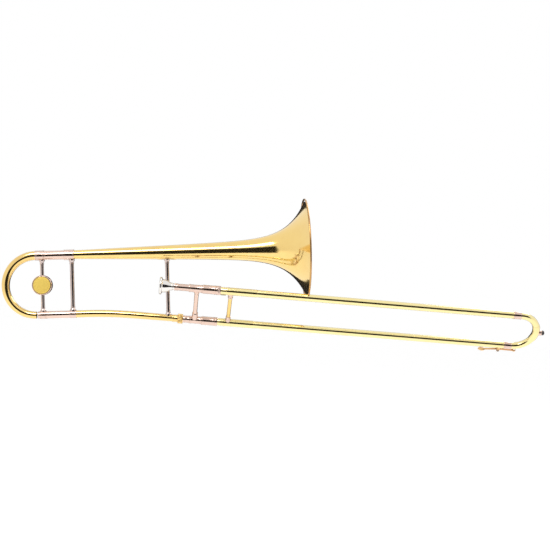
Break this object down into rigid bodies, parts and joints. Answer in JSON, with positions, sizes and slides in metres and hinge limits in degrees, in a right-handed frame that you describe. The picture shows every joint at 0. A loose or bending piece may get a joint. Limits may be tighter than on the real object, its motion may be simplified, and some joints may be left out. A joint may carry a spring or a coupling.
{
  "type": "trombone",
  "caption": "Straight tenor trombone with a flared bell, pull-out tuning slide, turning hand slide, slide lock, sprung water key and removable mouthpiece.",
  "frame": {"origin": "on the axis of the slide's lower tube, where the bell section and the hand slide lock together and the left hand holds the instrument", "axes": "+X along the hand slide away from the player, +Z from the slide up to the bell in the plane of the bell and its neck tube, +Y away from the side that the slide is turned to"},
  "size_m": [1.1678, 0.2166, 0.3049],
  "materials": {
    "lacquered_brass": "polished, clear lacquer",
    "nickel_silver": "polished",
    "silver_plate": "polished silver plate",
    "brace_plate": "polished nickel plate",
    "drawn_brass": "bare drawn brass",
    "weight_face": "satin lacquer",
    "bumper_rubber": "matte moulded rubber",
    "felt": "pressed wool felt",
    "cork": "natural cork",
    "spring_steel": "blued spring wire",
    "lock_steel": "darkened metal"
  },
  "bodies": {
    "bell_section": {"bell_stem": "lacquered_brass", "bell_flare": "lacquered_brass", "bell_rim_wire": "drawn_brass", "bell_tail_ferrule": "nickel_silver", "upper_tuning_sleeve": "nickel_silver", "lower_tuning_sleeve": "nickel_silver", "neck_ferrule": "nickel_silver", "gooseneck": "lacquered_brass", "neck_brace": "brace_plate", "neck_brace_flanges": "nickel_silver", "bell_brace": "brace_plate", "bell_brace_flanges": "lacquered_brass", "bell_receiver": "lacquered_brass"},
    "tuning_slide": {"tuning_bow": "lacquered_brass", "upper_bow_ferrule": "nickel_silver", "lower_bow_ferrule": "nickel_silver", "upper_tuning_leg": "nickel_silver", "lower_tuning_leg": "nickel_silver", "tuning_brace": "brace_plate", "tuning_brace_flanges": "nickel_silver", "counterweight_front": "nickel_silver", "counterweight_back": "nickel_silver", "counterweight_cap": "weight_face", "counterweight_screws": "spring_steel"},
    "inner_slide": {"slide_tenon": "nickel_silver", "lower_inner_tube": "silver_plate", "upper_inner_tube": "silver_plate", "lower_stocking": "silver_plate", "upper_stocking": "silver_plate", "leadpipe": "drawn_brass", "mouthpiece_receiver": "nickel_silver", "lower_brace_sleeve": "nickel_silver", "upper_brace_sleeve": "nickel_silver", "lower_cork_barrel": "nickel_silver", "upper_cork_barrel": "nickel_silver", "slide_felts": "felt", "inner_brace": "nickel_silver", "inner_brace_ferrule": "nickel_silver"},
    "bell_lock_nut": {"bell_lock_nut": "lacquered_brass"},
    "slide_lock_ring": {"slide_lock_ring": "nickel_silver"},
    "mouthpiece": {"mouthpiece": "silver_plate"},
    "outer_slide": {"lower_outer_tube": "lacquered_brass", "upper_outer_tube": "lacquered_brass", "lower_grip_sleeve": "lacquered_brass", "upper_grip_sleeve": "lacquered_brass", "slide_lock_pin": "lock_steel", "outer_brace": "lacquered_brass", "outer_brace_ferrules": "nickel_silver", "bow_ferrules": "nickel_silver", "end_bow": "lacquered_brass", "bow_guard": "lacquered_brass", "bumper_socket": "nickel_silver", "rubber_bumper": "bumper_rubber", "water_key_nipple": "nickel_silver", "water_key_saddle": "lacquered_brass", "water_key_screw": "spring_steel", "water_key_spring": "spring_steel"},
    "water_key": {"water_key_lever": "lacquered_brass", "water_key_cork": "cork"}
  },
  "joints": [
    {"name": "slide_swivel", "type": "hinge", "parent": "bell_section", "child": "inner_slide", "pos_m": [0, 0, 0], "axis": [1, 0, 0], "range_deg": [0, 284]},
    {"name": "hand_slide", "type": "slide", "parent": "inner_slide", "child": "outer_slide", "axis": [1, 0, 0], "range_m": [0, 0.6]},
    {"name": "tuning_pull", "type": "slide", "parent": "bell_section", "child": "tuning_slide", "axis": [-0.9938, 0, -0.1115], "range_m": [0, 0.036]},
    {"name": "lock_nut_turn", "type": "hinge", "parent": "inner_slide", "child": "bell_lock_nut", "pos_m": [0, 0, 0], "axis": [1, 0, 0], "continuous": true},
    {"name": "slide_lock_turn", "type": "hinge", "parent": "inner_slide", "child": "slide_lock_ring", "pos_m": [0.076, -0.05292, 0.06779], "axis": [1, 0, 0], "range_deg": [0, 35]},
    {"name": "mouthpiece_pull", "type": "slide", "parent": "inner_slide", "child": "mouthpiece", "axis": [-1, 0, 0], "range_m": [0, 0.045]},
    {"name": "water_key_press", "type": "hinge", "parent": "outer_slide", "child": "water_key", "pos_m": [0.697, 0.00768, -0.00983], "axis": [0, 0.7883, 0.6153], "range_deg": [0, 10], "stiffness_Nm_per_rad": 0.12, "springref_deg": -17.19, "deforming": ["water_key_spring"]}
  ]
}
